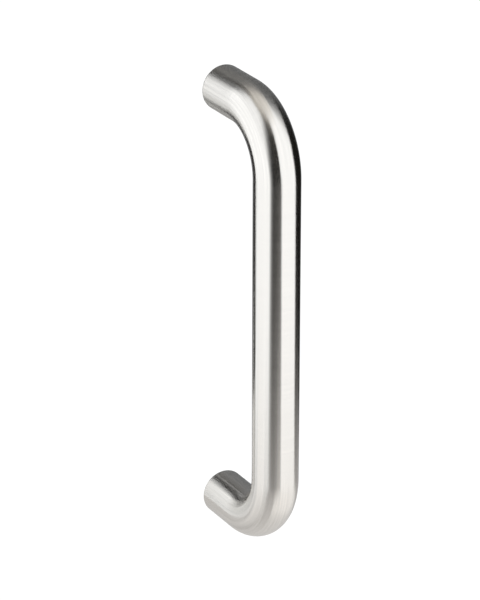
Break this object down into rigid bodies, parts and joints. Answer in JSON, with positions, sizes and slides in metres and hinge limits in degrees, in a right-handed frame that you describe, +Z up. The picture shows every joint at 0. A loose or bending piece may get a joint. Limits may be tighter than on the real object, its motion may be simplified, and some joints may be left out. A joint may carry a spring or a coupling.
{
  "type": "straight pull handle",
  "caption": "Straight D-shaped door pull handle bent from round satin stainless tube, with a turned threaded insert closing each end for bolt-through fixing.",
  "frame": {"origin": "on the door's face, midway between the two tapped fixing holes", "axes": "+Z up along the grip, +Y into the door, +X to the right as seen from in front of the door"},
  "size_m": [0.032, 0.089, 0.332],
  "materials": {
    "satin_stainless_tube": "satin, brushed around the tube",
    "turned_stainless": "as turned"
  },
  "bodies": {
    "root": {"grip_tube": "satin_stainless_tube", "upper_threaded_insert": "turned_stainless", "lower_threaded_insert": "turned_stainless"}
  },
  "joints": []
}
